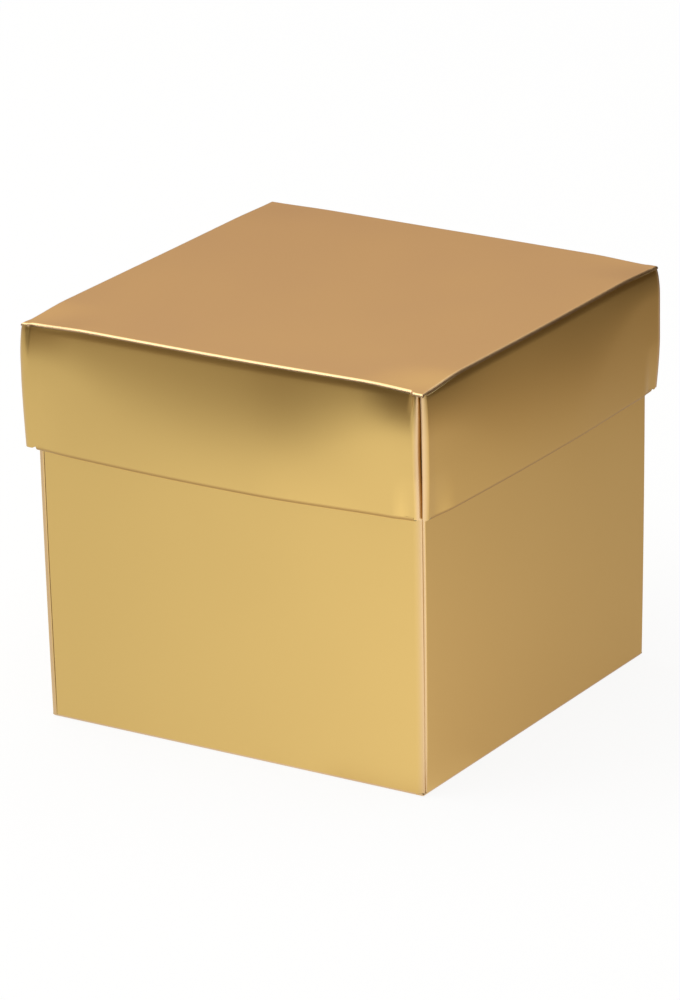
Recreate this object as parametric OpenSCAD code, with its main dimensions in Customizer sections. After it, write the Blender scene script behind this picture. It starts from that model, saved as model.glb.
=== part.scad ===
// Two-piece favor box: a square base and a lift-off lid, each folded from one sheet of metallised card.
// A fold keeps the sheet whole at every corner: the square web of card between two walls is doubled on its
// diagonal and laid behind one wall, and the flap rolled in over the rim holds it there. No glue is used.
// The lid is the same fold as the base, turned upside down, so its webs lie at the other end of each wall.
// Origin at the centre of the underside, +Z up, front towards -Y. Lengths are in millimetres.

/* [Base] */
// Outside width of the square base
base_w = 50.8; // [44:0.2:70]
// Height of the base, from its underside to the top of its rolled rim
base_h = 48; // [40:0.5:60]
// Depth of the flaps that are rolled in over the base's rim
base_flap = 20; // [10:0.5:26]
// Outer radius of the base's upright bends
base_bend_r = 0.8; // [0.4:0.05:1.2]

/* [Lid] */
// Depth of the lid, from its top face to the edge of its rolled rim
lid_h = 15.4; // [12:0.2:20]
// Depth of the flaps that are rolled in over the lid's rim
lid_flap = 11; // [6:0.5:11]
// Outer radius of the lid's upright bends
lid_bend_r = 0.8; // [0.5:0.05:1.4]
// Bow of the front and back skirts outward, at the middle of the rim
front_bow = 1.1; // [0:0.05:1.6]
// Bow of the side skirts outward, at the middle of the rim
side_bow = 0.45; // [0:0.05:1.6]

/* [Card] */
// Thickness of the card
card_t = 0.25; // [0.2:0.01:0.3]
// Air between two layers that are folded flat on each other
layer_gap = 0.05; // [0.03:0.01:0.08]
// Outer radius of the creases round the floor and round the lid's top
crease_r = 0.4; // [0.35:0.05:0.8]

/* [Die cuts] */
// Length cut off the rolled rim beside each upright bend
relief_w = 0.4; // [0.3:0.05:1.2]
// How far the upright bends end below the rolled rim
rim_step = 0.3; // [0.2:0.05:0.45]
// Slant of a flap's ends, at its free edge
flap_slant = 3; // [1:0.5:5]
// Height left on the clipped tip of each web
web_tip = 1; // [0.5:0.1:2]

/* [Fit] */
// Clearance on each side between the base's walls and the lid's flaps
slide_gap = 0.23; // [0.15:0.01:0.4]
// Air between the base's rim and the underside of the lid's top
rest_gap = 0.15; // [0.1:0.01:0.3]

/* [Hidden] */
FRONT = 0;
RIGHT = 90;
BACK = 180;
LEFT = 270;

// A wall, the two layers of its web and its flap lie on each other, one pitch apart
layer_pitch = card_t + layer_gap;
stack_t = 3 * layer_pitch + card_t;
// Outer radius of a fold that lays the card flat on itself, and of the rim rolled round a web
fold_r = card_t + layer_gap / 2;
roll_r = stack_t / 2;
// A crease across the card at 45 degrees reaches this far down its wall
fold_drop = fold_r * sqrt(2);

base_half = base_w / 2;
lid_half = base_half + slide_gap + stack_t;
lid_top_z = base_h + rest_gap + card_t;

// The two trays: half width, depth, radius of the upright bends, depth of the flaps, and how far the front
// and back walls and then the side walls bow outward
BASE = [base_half, base_h, base_bend_r, base_flap, 0, 0];
LID = [lid_half, lid_h, lid_bend_r, lid_flap, front_bow, side_bow];

foil_colour = "#d0a85e";
foil_shade = "#b98f48";
card_white = "#efe9dc";

// Steps along a wall, up a wall, along a web, round a rolled rim and round a web's fold
wall_steps = 16;
rise_steps = 4;
web_steps = 5;
roll_steps = 8;
fold_steps = 6;
$fn = 48;

// Sizes of a tray, whose floor is down and whose front wall faces -Y
function half(tray) = tray[0];
function depth(tray) = tray[1];
function bend_r(tray) = tray[2];
function flap_depth(tray) = tray[3];
function bow_of(tray, side) = side == FRONT || side == BACK ? tray[4] : tray[5];

// The wall runs between its upright bends: flush with the corner on its right, past the web on its left
function wall_right(tray) = half(tray) - fold_r;
function wall_left(tray) = -half(tray) + 2 * layer_pitch + bend_r(tray);
// The rolled rim stops short of both bends by the same length, and beside it they stand nearly to its top
function roll_half(tray) = bow_span(tray) - relief_w;
function roll_z(tray) = depth(tray) - roll_r;
function bend_top(tray) = depth(tray) - rim_step;
function flap_z(tray) = depth(tray) - flap_depth(tray);

// A web hangs from the rim, and its diagonal fold falls from its tip to the foot of the upright bends
function web_right(tray) = half(tray) - bend_r(tray);
function web_foot(tray) = crease_r + fold_drop;
function web_left(tray) = web_right(tray) - (roll_z(tray) - web_tip - web_foot(tray));
function diagonal_z(tray, x) = web_foot(tray) + web_right(tray) - x;

// Bow of a wall outward: none along its crease and its upright bends, most at the middle of its rim
function bow_span(tray) = -wall_left(tray);
function bow(tray, side, x, z) =
    abs(x) >= bow_span(tray) ? 0 :
    bow_of(tray, side) * cos(90 * x / bow_span(tray))
        * sin(90 * min(1, max(0, (z - crease_r) / (roll_z(tray) - crease_r))));

// A point of a wall, or of a layer the given depth behind its outer face, moved out by the wall's bow
function bowed(tray, side, behind, x, z) = [x, behind - half(tray) - bow(tray, side, x, z), z];

function steps(from, to, count) = [for (i = [0:count]) from + (to - from) * i / count];

// Outlines in x and z, seen from the front
function wall_outline(tray) = [
    [wall_left(tray), crease_r],
    [wall_right(tray), crease_r],
    [wall_right(tray), bend_top(tray)],
    [bow_span(tray), bend_top(tray)],
    [roll_half(tray), roll_z(tray)],
    [-roll_half(tray), roll_z(tray)],
    [wall_left(tray), bend_top(tray)]
];
function flap_outline(tray) = [
    [-roll_half(tray), roll_z(tray)],
    [-roll_half(tray) + flap_slant, flap_z(tray)],
    [roll_half(tray) - flap_slant, flap_z(tray)],
    [roll_half(tray), roll_z(tray)]
];

// A flat sheet of card stood up in x and z, with its front face the given depth behind the tray's front
module upright_sheet(tray, behind, outline) {
    translate([0, card_t + behind - half(tray), 0])
        rotate([90, 0, 0])
            linear_extrude(card_t)
                polygon(outline);
}

// A bend in the card round the Z axis, from angle a0 through the given sweep
module bend(outer_r, a0, sweep, length) {
    rotate([0, 0, a0])
        rotate_extrude(angle = sweep)
            translate([outer_r - card_t, 0])
                square([card_t, length]);
}

// The same bend laid along +X: -90 is outward and -180 is up, so a crease ends at 0 and a rim starts at 90
module level_bend(outer_r, a0, sweep, length) {
    rotate([0, 90, 0])
        bend(outer_r, a0, sweep, length);
}

// A sheet with a curve in it, closed between an outer and an inner face given as rows of points
module curved_sheet(outer, inner) {
    rows = len(outer) - 1;
    cols = len(outer[0]) - 1;
    skip = (rows + 1) * (cols + 1);
    function o(i, j) = i * (cols + 1) + j;
    function n(i, j) = skip + o(i, j);
    function quad(a, b, c, d) = [[a, b, c], [a, c, d]];
    polyhedron(
        points = concat([for (row = outer) each row], [for (row = inner) each row]),
        faces = [
            for (i = [0:rows - 1], j = [0:cols - 1])
                each concat(
                    quad(o(i, j), o(i, j + 1), o(i + 1, j + 1), o(i + 1, j)),
                    quad(n(i, j), n(i + 1, j), n(i + 1, j + 1), n(i, j + 1))
                ),
            for (i = [0:rows - 1])
                each concat(
                    quad(o(i, 0), o(i + 1, 0), n(i + 1, 0), n(i, 0)),
                    quad(o(i + 1, cols), o(i, cols), n(i, cols), n(i + 1, cols))
                ),
            for (j = [0:cols - 1])
                each concat(
                    quad(o(0, j + 1), o(0, j), n(0, j), n(0, j + 1)),
                    quad(o(rows, j), o(rows, j + 1), n(rows, j + 1), n(rows, j))
                )
        ]
    );
}

// Floor of a tray, with its four creases. A lip of each crease runs on to a mitred corner
module tray_floor(tray) {
    flat = half(tray) - crease_r;
    wall_w = wall_right(tray) - wall_left(tray);
    translate([-flat, -flat, 0])
        cube([2 * flat, 2 * flat, card_t]);
    for (side = [FRONT, RIGHT, BACK, LEFT])
        rotate([0, 0, side]) {
            intersection() {
                translate([-half(tray), -flat, crease_r])
                    level_bend(crease_r, -45, 45, 2 * half(tray));
                linear_extrude(crease_r)
                    polygon([[0, 0], [-half(tray), -half(tray)], [half(tray), -half(tray)]]);
            }
            translate([wall_left(tray), -flat, crease_r])
                level_bend(crease_r, -90, 45, wall_w);
        }
}

// Upright bends at a wall's right end: the fold onto the back of the wall, and the corner to the next wall
module web_bends(tray) {
    rise = bend_top(tray) - crease_r;
    translate([wall_right(tray), fold_r - half(tray), crease_r])
        bend(fold_r, -90, 180, rise);
    translate([web_right(tray), 2 * layer_pitch + bend_r(tray) - half(tray), crease_r])
        bend(bend_r(tray), -90, 90, rise);
    upright_sheet(tray, layer_pitch, [
        [web_right(tray), crease_r],
        [wall_right(tray), crease_r],
        [wall_right(tray), bend_top(tray)],
        [web_right(tray), bend_top(tray)]
    ]);
}

// The web behind a wall: down its back layer, round the diagonal fold and up its front layer, bowed as the
// wall is. Beside the bends both layers are still flat, and there they are lapped by the bends' own edges
module web(tray, side) {
    lap_x = web_right(tray) - layer_pitch;
    lap = [
        [web_right(tray), web_foot(tray)],
        [web_right(tray), bend_top(tray)],
        [lap_x, bend_top(tray)],
        [lap_x, diagonal_z(tray, lap_x)]
    ];
    middle = layer_pitch + fold_r;
    columns = concat(
        [for (x = steps(web_left(tray), roll_half(tray), web_steps)) [x, roll_z(tray)]],
        [[bow_span(tray), bend_top(tray)], [web_right(tray), bend_top(tray)]]
    );
    function face(r) = [
        for (top = columns)
            let (x = top.x, low = diagonal_z(tray, x), rise = top.y - low)
            concat(
                [for (i = [rise_steps:-1:1]) bowed(tray, side, middle + r, x, low + rise * i / rise_steps)],
                [for (a = steps(0, 180, fold_steps))
                    bowed(tray, side, middle + r * cos(a), x, low - r * sqrt(2) * sin(a))],
                [for (i = [1:rise_steps]) bowed(tray, side, middle - r, x, low + rise * i / rise_steps)]
            )
    ];
    color(card_white) {
        web_bends(tray);
        upright_sheet(tray, layer_pitch, lap);
        upright_sheet(tray, 2 * layer_pitch, lap);
        curved_sheet(face(fold_r), face(fold_r - card_t));
    }
}

// Base

module base_floor() {
    color(foil_colour)
        tray_floor(BASE);
}

module base_wall(side) {
    color(foil_colour)
        rotate([0, 0, side])
            upright_sheet(BASE, 0, wall_outline(BASE));
}

// The rim rolled over inward and the flap that hangs from it
module base_flap(side) {
    color(foil_shade)
        rotate([0, 0, side]) {
            translate([-roll_half(BASE), roll_r - half(BASE), roll_z(BASE)])
                level_bend(roll_r, 90, 180, 2 * roll_half(BASE));
            upright_sheet(BASE, 3 * layer_pitch, flap_outline(BASE));
        }
}

module base_web(side) {
    rotate([0, 0, side])
        web(BASE, side);
}

// Lid, built as a tray and then turned over, which leaves each side where it was and swaps front and back

module turned_over(side) {
    translate([0, 0, lid_top_z])
        rotate([180, 0, 0])
            rotate([0, 0, BACK - side])
                children();
}

module lid_top() {
    color(foil_colour)
        turned_over(FRONT)
            tray_floor(LID);
}

module lid_skirt(side) {
    edge = concat(
        [[wall_left(LID), bend_top(LID)]],
        [for (x = steps(-roll_half(LID), roll_half(LID), wall_steps)) [x, roll_z(LID)]],
        [[bow_span(LID), bend_top(LID)], [wall_right(LID), bend_top(LID)]]
    );
    function face(behind) =
        [for (p = edge) [for (z = steps(crease_r, p.y, rise_steps)) bowed(LID, side, behind, p.x, z)]];
    color(foil_colour)
        turned_over(side)
            curved_sheet(face(0), face(card_t));
}

// The bowed rim rolled over inward and the flap that hangs from it, with slanted ends
module lid_flap(side) {
    drop = roll_z(LID) - flap_z(LID);
    function face(r) = [
        for (u = steps(-1, 1, wall_steps)) concat(
            [for (a = steps(0, 180, roll_steps))
                bowed(LID, side, roll_r - r * cos(a), u * roll_half(LID), roll_z(LID) + r * sin(a))],
            [for (i = [1:rise_steps]) let (share = i / rise_steps, x = roll_half(LID) - flap_slant * share)
                bowed(LID, side, roll_r + r, u * x, roll_z(LID) - drop * share)]
        )
    ];
    color(foil_shade)
        turned_over(side)
            curved_sheet(face(roll_r), face(roll_r - card_t));
}

module lid_web(side) {
    turned_over(side)
        web(LID, side);
}

base_floor();
base_wall(FRONT);  // base_front_wall
base_wall(RIGHT);  // base_right_wall
base_wall(BACK);  // base_back_wall
base_wall(LEFT);  // base_left_wall
base_flap(FRONT);  // base_front_flap
base_flap(RIGHT);  // base_right_flap
base_flap(BACK);  // base_back_flap
base_flap(LEFT);  // base_left_flap
base_web(FRONT);  // base_front_right_web
base_web(RIGHT);  // base_back_right_web
base_web(BACK);  // base_back_left_web
base_web(LEFT);  // base_front_left_web
lid_top();
lid_skirt(FRONT);  // lid_front_skirt
lid_skirt(RIGHT);  // lid_right_skirt
lid_skirt(BACK);  // lid_back_skirt
lid_skirt(LEFT);  // lid_left_skirt
lid_flap(FRONT);  // lid_front_flap
lid_flap(RIGHT);  // lid_right_flap
lid_flap(BACK);  // lid_back_flap
lid_flap(LEFT);  // lid_left_flap
lid_web(RIGHT);  // lid_front_right_web
lid_web(BACK);  // lid_back_right_web
lid_web(LEFT);  // lid_back_left_web
lid_web(FRONT);  // lid_front_left_web
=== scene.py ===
"""Favor box of folded metallised card, closed, in a plain studio.

Sizes are in millimetres until a mesh is made.
"""

import logging
import math
from dataclasses import dataclass, replace
from enum import Enum
from typing import Callable, ClassVar, Sequence

import bpy
import numpy as np
from mathutils import Matrix, Vector


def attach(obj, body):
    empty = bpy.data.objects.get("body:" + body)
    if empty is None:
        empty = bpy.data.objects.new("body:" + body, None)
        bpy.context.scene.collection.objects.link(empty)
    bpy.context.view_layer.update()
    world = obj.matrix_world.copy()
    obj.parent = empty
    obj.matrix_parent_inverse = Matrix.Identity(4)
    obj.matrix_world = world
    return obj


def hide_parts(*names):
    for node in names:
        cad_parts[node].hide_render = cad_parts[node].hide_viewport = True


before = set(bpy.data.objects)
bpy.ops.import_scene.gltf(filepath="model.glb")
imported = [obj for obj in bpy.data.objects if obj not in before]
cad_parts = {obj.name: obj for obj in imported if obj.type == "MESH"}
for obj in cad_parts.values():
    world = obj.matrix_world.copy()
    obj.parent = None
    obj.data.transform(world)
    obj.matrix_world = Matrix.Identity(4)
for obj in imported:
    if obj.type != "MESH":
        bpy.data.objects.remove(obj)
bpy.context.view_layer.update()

log = logging.getLogger("favor_box")

MM = 0.001
Surface = Callable[[np.ndarray, np.ndarray], np.ndarray]
Colour = tuple[float, float, float, float]
UP_STEPS = 32  # mesh steps from a crease up to the rim
ROUND_STEPS = 16  # round a fold, a bend or a rolled rim
LAYER_STEPS = 12  # across a layer of a web
RIM_STEPS = 40  # along a rim
MIDDLE_STEPS = 24  # along the middle of a wall
END_STEPS = 16  # along its end at the fold, and half as many at the bend
RELIEF_STEPS = 3  # from the bend to where the rim starts
HANG_STEPS = 8  # down the straight part of a flap
FLAP_END_STEPS = 5  # round its lower corners
TURN_STEPS = 6  # round the fold on a web's diagonal


class Side(Enum):
    """A side of the box, by the angle that turns the front onto it."""

    FRONT = 0
    RIGHT = 90
    BACK = 180
    LEFT = 270

    @property
    def word(self) -> str:
        """The side's name in lower case."""
        return self.name.lower()

    @property
    def front_or_back(self) -> bool:
        """Whether the side faces along Y."""
        return self in (Side.FRONT, Side.BACK)


class Face(Enum):
    """Material slot of each kind of face on a sheet of card."""

    FOIL = 0
    WHITE = 1
    CUT = 2


def linear(hex_colour: str) -> Colour:
    """Turns an sRGB colour such as "#d0a85e" into linear light.

    Args:
        hex_colour: the colour, with six hex digits.

    Returns:
        Linear red, green, blue and an alpha of 1.
    """
    parts = [int(hex_colour[i:i + 2], 16) / 255 for i in (1, 3, 5)]
    red, green, blue = (p / 12.92 if p <= 0.04045 else ((p + 0.055) / 1.055) ** 2.4 for p in parts)
    return red, green, blue, 1.0


def add_node(tree: bpy.types.NodeTree, kind: str, settings: dict[str | int, object] | None = None,
             **links: bpy.types.NodeSocket) -> bpy.types.Node:
    """Adds a node with its settings, values and links.

    Args:
        tree: the node tree.
        kind: the node's type.
        settings: attributes of the node, and values of its sockets by name or number.
        links: the sockets that feed it, by input name, with "_" for a space, or "in0" for input 0.

    Returns:
        The new node.
    """
    node = tree.nodes.new(kind)
    for key, value in (settings or {}).items():
        if isinstance(key, int) or key in node.inputs:
            node.inputs[key].default_value = value
        else:
            setattr(node, key, value)
    for key, source in links.items():
        place = int(key[2:]) if key[:2] == "in" and key[2:].isdigit() else key.replace("_", " ")
        tree.links.new(source, node.inputs[place])
    return node


def new_material(name: str) -> tuple[bpy.types.Material, bpy.types.NodeTree, bpy.types.Node]:
    """Makes an empty node material.

    Args:
        name: the material's name.

    Returns:
        The material, its node tree and its output node.
    """
    material = bpy.data.materials.new(name)
    material.use_nodes = True
    material.node_tree.nodes.clear()
    return material, material.node_tree, material.node_tree.nodes.new("ShaderNodeOutputMaterial")


@dataclass(frozen=True)
class MetallisedFoil:
    """Aluminium vapour under a gold lacquer, laminated to the card and calendered: a smooth satin metal.

    The lamination takes up the card's fibres as a very fine grain, and the sheet is never quite flat.
    """

    colour: str = "#dcba72"
    crease_colour: str = "#dbbb90"  # painted highlight: the bends are paler, so that their highlights show whiter
    rim_shade_colour: str = "#bd9a5e"  # painted shade: the rims are darker, for the dark line under the lid's rim; they are also rougher
    roughness: float = 0.3
    crease_roughness: float = 0.38
    rim_roughness: float = 0.42
    patchiness: float = 0.015
    noise_range: tuple[float, float] = (0.3, 0.7)  # values that the noise rarely leaves
    grain_mm: float = 0.35  # fibre bundles are about 0.1 wide, drawn coarser so that they show
    grain_depth_mm: float = 0.0012
    wave_mm: float = 14.0
    wave_depth_mm: float = 0.012

    def material(self) -> bpy.types.Material:
        """Builds the foil's material.

        Returns:
            The material.
        """
        material, tree, output = new_material("gold metallised foil")
        place = add_node(tree, "ShaderNodeTexCoord").outputs["Object"]
        crease = add_node(tree, "ShaderNodeAttribute", {"attribute_name": "crease"}).outputs["Fac"]
        rim_shade = add_node(tree, "ShaderNodeAttribute", {"attribute_name": "rim_shade"}).outputs["Fac"]
        grain = add_node(
            tree, "ShaderNodeTexNoise", {"Scale": 1 / (self.grain_mm * MM), "Detail": 3.0}, Vector=place)
        wave = add_node(
            tree, "ShaderNodeTexNoise", {"Scale": 1 / (self.wave_mm * MM), "Detail": 1.0}, Vector=place)
        # the crease mask paints the bends paler: a painted highlight
        bent = add_node(
            tree, "ShaderNodeMix",
            {"data_type": "RGBA", 6: linear(self.colour), 7: linear(self.crease_colour)}, Factor=crease)
        # the rim mask paints the rims darker: painted shade
        tint = add_node(
            tree, "ShaderNodeMix", {"data_type": "RGBA", 7: linear(self.rim_shade_colour)},
            Factor=rim_shade, in6=bent.outputs[2])
        stretched = add_node(
            tree, "ShaderNodeMapRange",
            {"To Min": self.roughness, "To Max": self.crease_roughness}, Value=crease)
        shine = add_node(
            tree, "ShaderNodeMapRange", {"To Max": self.rim_roughness},
            Value=rim_shade, To_Min=stretched.outputs[0])
        low, high = self.noise_range
        patchy = add_node(
            tree, "ShaderNodeMapRange",
            {"From Min": low, "From Max": high, "To Min": -self.patchiness, "To Max": self.patchiness},
            Value=wave.outputs["Fac"])
        rough = add_node(
            tree, "ShaderNodeMath", {"operation": "ADD"}, in0=shine.outputs[0], in1=patchy.outputs[0])
        swell = add_node(
            tree, "ShaderNodeBump", {"Strength": 1.0, "Distance": self.wave_depth_mm * MM},
            Height=wave.outputs["Fac"])
        tooth = add_node(
            tree, "ShaderNodeBump", {"Strength": 1.0, "Distance": self.grain_depth_mm * MM},
            Height=grain.outputs["Fac"], Normal=swell.outputs["Normal"])
        shader = add_node(
            tree, "ShaderNodeBsdfPrincipled", {"Metallic": 1.0},
            Base_Color=tint.outputs[2], Roughness=rough.outputs[0], Normal=tooth.outputs["Normal"])
        tree.links.new(shader.outputs[0], output.inputs[0])
        return material


@dataclass(frozen=True)
class UncoatedCard:
    """The bare back of solid bleached board: matt, warm white, felted fibres that show as a soft mottle."""

    name: str = "uncoated white card"
    colour: str = "#f1ece0"
    shade: str = "#e4ddce"
    roughness: float = 0.9
    ior: float = 1.5
    specular: float = 0.2
    mottle_mm: float = 6.0
    fibre_mm: float = 0.5  # felted fibres are 0.02 wide, drawn coarser so that they show
    fibre_depth_mm: float = 0.008

    def material(self) -> bpy.types.Material:
        """Builds the card's material.

        Returns:
            The material.
        """
        material, tree, output = new_material(self.name)
        place = add_node(tree, "ShaderNodeTexCoord").outputs["Object"]
        fibres = add_node(
            tree, "ShaderNodeTexNoise", {"Scale": 1 / (self.fibre_mm * MM), "Detail": 5.0}, Vector=place)
        mottle = add_node(
            tree, "ShaderNodeTexNoise", {"Scale": 1 / (self.mottle_mm * MM), "Detail": 2.0}, Vector=place)
        tint = add_node(
            tree, "ShaderNodeMix", {"data_type": "RGBA", 6: linear(self.shade), 7: linear(self.colour)},
            Factor=mottle.outputs["Fac"])
        tooth = add_node(
            tree, "ShaderNodeBump", {"Strength": 1.0, "Distance": self.fibre_depth_mm * MM},
            Height=fibres.outputs["Fac"])
        shader = add_node(
            tree, "ShaderNodeBsdfPrincipled",
            {"Roughness": self.roughness, "IOR": self.ior, "Specular IOR Level": self.specular},
            Base_Color=tint.outputs[2], Normal=tooth.outputs["Normal"])
        tree.links.new(shader.outputs[0], output.inputs[0])
        return material


@dataclass(frozen=True)
class Card:
    """The card that both trays are folded from, and how closely it folds."""

    thickness: float = 0.25
    air: float = 0.05

    @property
    def pitch(self) -> float:
        """From one layer to the next."""
        return self.thickness + self.air

    @property
    def stack(self) -> float:
        """Thickness of a wall, its web's two layers and its flap."""
        return 3 * self.pitch + self.thickness

    @property
    def fold_r(self) -> float:
        """Outer radius of a fold that lays the card flat on itself."""
        return self.thickness + self.air / 2

    @property
    def roll_r(self) -> float:
        """Outer radius of the rim, rolled round the stack."""
        return self.stack / 2


def spread(start: float, end: float, count: int, ease: bool = False) -> np.ndarray:
    """Evenly spaced samples, or ones that crowd at both ends.

    Args:
        start: first value.
        end: last value.
        count: number of steps.
        ease: whether the samples crowd at both ends.

    Returns:
        count + 1 values.
    """
    share = np.linspace(0, 1, count + 1)
    if ease:
        share = (1 - np.cos(math.pi * share)) / 2
    return start + (end - start) * share


def settle(share: np.ndarray) -> np.ndarray:
    """Rises from 0 to 1 with a full slope at the start and none at the end, and stays there."""
    return 1 - (1 - np.clip(share, 0, 1)) ** 2


def smooth(share: np.ndarray) -> np.ndarray:
    """Rises from 0 to 1 with no slope at either end, and stays there."""
    share = np.clip(share, 0, 1)
    return share ** 2 * (3 - 2 * share)


def ramp(value: float, low: float, high: float) -> float:
    """Rises smoothly from 0 at one value to 1 at another."""
    share = min(1.0, max(0.0, (value - low) / (high - low)))
    return share ** 2 * (3 - 2 * share)


def hump(share: np.ndarray) -> np.ndarray:
    """Rises from 0 to 1 in the middle and falls back to 0, smoothly."""
    return np.sin(math.pi * np.clip(share, 0, 1)) ** 2


def plateau(share: np.ndarray, edge: float = 0.12) -> np.ndarray:
    """Rises from 0 to 1 over a share of the way at the start, and falls back to 0 over as much at the end."""
    return smooth(np.minimum(share, 1 - share) / edge)


def points(x: np.ndarray, y: np.ndarray, z: np.ndarray) -> np.ndarray:
    """Stacks coordinates of one shape into points."""
    return np.stack(np.broadcast_arrays(x, y, z), axis=-1)


@dataclass(frozen=True)
class Strip:
    """A stretch of a folded sheet: its foil side as a function, and where along it the mesh is sampled."""

    surface: Surface
    along: np.ndarray
    bent: bool = False  # the stretch is an upright fold or bend, painted paler as a painted highlight and made rougher
    rim_shaded: bool = False  # the stretch is a rim, painted darker as painted shade and made rougher


class Sheet:
    """Card that is swept through one or more strips, with foil on its outer side and white on its inner."""

    STEP: ClassVar[float] = 1e-4
    TINY: ClassVar[float] = 1e-12

    def __init__(self, name: str, strips: Sequence[Strip], across: np.ndarray, thickness: float) -> None:
        """Samples the strips.

        Args:
            name: name of the piece.
            strips: stretches that follow each other, each starting where the last one ends.
            across: samples over the sheet's other direction, from 0 to 1.
            thickness: thickness of the card.
        """
        self.name = name
        outer, normal, crease, rim_shade = [], [], [], []
        for number, strip in enumerate(strips):
            along = strip.along if number == 0 else strip.along[1:]
            u, v = np.meshgrid(along, across, indexing="ij")
            outer.append(strip.surface(u, v))
            du = strip.surface(u + self.STEP, v) - strip.surface(u - self.STEP, v)
            dv = strip.surface(u, v + self.STEP) - strip.surface(u, v - self.STEP)
            cross = np.cross(du, dv)
            normal.append(cross / np.maximum(np.linalg.norm(cross, axis=-1, keepdims=True), self.TINY))
            crease.append(hump(u) if strip.bent else np.zeros(u.shape))
            rim_shade.append(plateau(u) if strip.rim_shaded else np.zeros(u.shape))
        self.outer = np.concatenate(outer)
        self.normal = np.concatenate(normal)
        # masks of painted light, which also roughen the foil: paler bends, a painted highlight, and darker
        # rims, painted shade
        self.worn = {"crease": np.concatenate(crease), "rim_shade": np.concatenate(rim_shade)}
        self.inner = self.outer - thickness * self.normal

    def build(self, place: Matrix, finishes: Sequence[bpy.types.Material]) -> bpy.types.Object:
        """Makes the closed mesh of the sheet.

        Args:
            place: from the tray's frame, in millimetres, to the box's.
            finishes: the foil, the white back and the cut edge.

        Returns:
            The piece, with its place in its mesh.
        """
        rows, cols = self.outer.shape[:2]
        count = rows * cols
        verts = np.concatenate([self.outer.reshape(-1, 3), self.inner.reshape(-1, 3)])
        turn = np.array(place.to_3x3())
        verts = (verts @ turn.T + np.array(place.translation)) * MM
        index = np.arange(count).reshape(rows, cols)
        a, b, c, d = index[:-1, :-1], index[1:, :-1], index[1:, 1:], index[:-1, 1:]
        outer = np.stack([a, b, c, d], axis=-1).reshape(-1, 4)
        loop = np.concatenate([index[:, 0], index[-1, 1:], index[-2::-1, -1], index[0, -2:0:-1]])
        after = np.roll(loop, -1)
        rim = np.stack([after, loop, loop + count, after + count], axis=-1)
        quads = np.concatenate([outer, outer[:, ::-1] + count, rim])
        kinds = np.repeat([kind.value for kind in Face], [len(outer), len(outer), len(rim)])
        mesh = bpy.data.meshes.new(self.name)
        mesh.from_pydata(verts.tolist(), [], quads.tolist())
        mesh.polygons.foreach_set("material_index", kinds.astype(np.int32))
        mesh.polygons.foreach_set("use_smooth", np.ones(len(quads), dtype=bool))
        for finish in finishes:
            mesh.materials.append(finish)
        normal = self.normal.reshape(-1, 3) @ turn.T
        edge = np.cross(verts[rim[:, 1]] - verts[rim[:, 0]], verts[rim[:, 3]] - verts[rim[:, 0]])
        edge /= np.maximum(np.linalg.norm(edge, axis=-1, keepdims=True), self.TINY * MM)
        loops = np.concatenate([normal[outer].reshape(-1, 3), -normal[outer[:, ::-1]].reshape(-1, 3),
                                np.repeat(edge, 4, axis=0)])
        mesh.normals_split_custom_set(loops.tolist())
        for name, level in self.worn.items():
            worn = mesh.attributes.new(name, "FLOAT", "POINT")
            worn.data.foreach_set("value", np.tile(level.reshape(-1), 2).astype(np.float32))
        piece = bpy.data.objects.new(self.name, mesh)
        bpy.context.scene.collection.objects.link(piece)
        return piece


@dataclass(frozen=True)
class Corner:
    """How one upright corner of a tray stands, from its crease up to its rim, in millimetres and shares.

    The web lies behind one wall, and its bend leads to the next. The doubled card springs open a little, so
    the fold is plumpest at mid height, and the corner is pinched in where the crease holds it.
    """

    pinch: float = 0.0  # how far in the wall is drawn at its crease
    pinch_next: float = 0.0  # the same for the next wall
    inset_next: float = 0.0  # how far in the next wall stands, all the way up
    settle_h: float = 3.0  # height by which the pinch is lost
    dent: float = 0.0  # dent in the wall, beside the fold and under the crease
    dent_next: float = 0.0  # dent in the next wall, beside the bend
    droop: float = 0.0  # how far the creases sink where they cross
    fold_end: float = 0.3  # outer radius of the upright fold at its ends
    fold_mid: float = 0.3  # and at mid height
    nose: float = 1.0  # how far the fold reaches past the wall, over its radius
    facet: float = 0.0  # from a round fold, at 0, to a flattened one that ends in an edge, at 1
    tuck: float = 0.0  # how far the fold is drawn back from the corner
    bend: float = 1.0  # radius of the upright bend, over the tray's own
    slit: float = 0.0  # gap between the fold and the bend at mid height
    curl: float = 0.0  # how far the wall curls in at its rim
    curl_next: float = 0.0  # the same for the next wall
    curl_h: float = 4.0  # height of the curl
    nub: float = 0.0  # how far the crossing creases stick out


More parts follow.
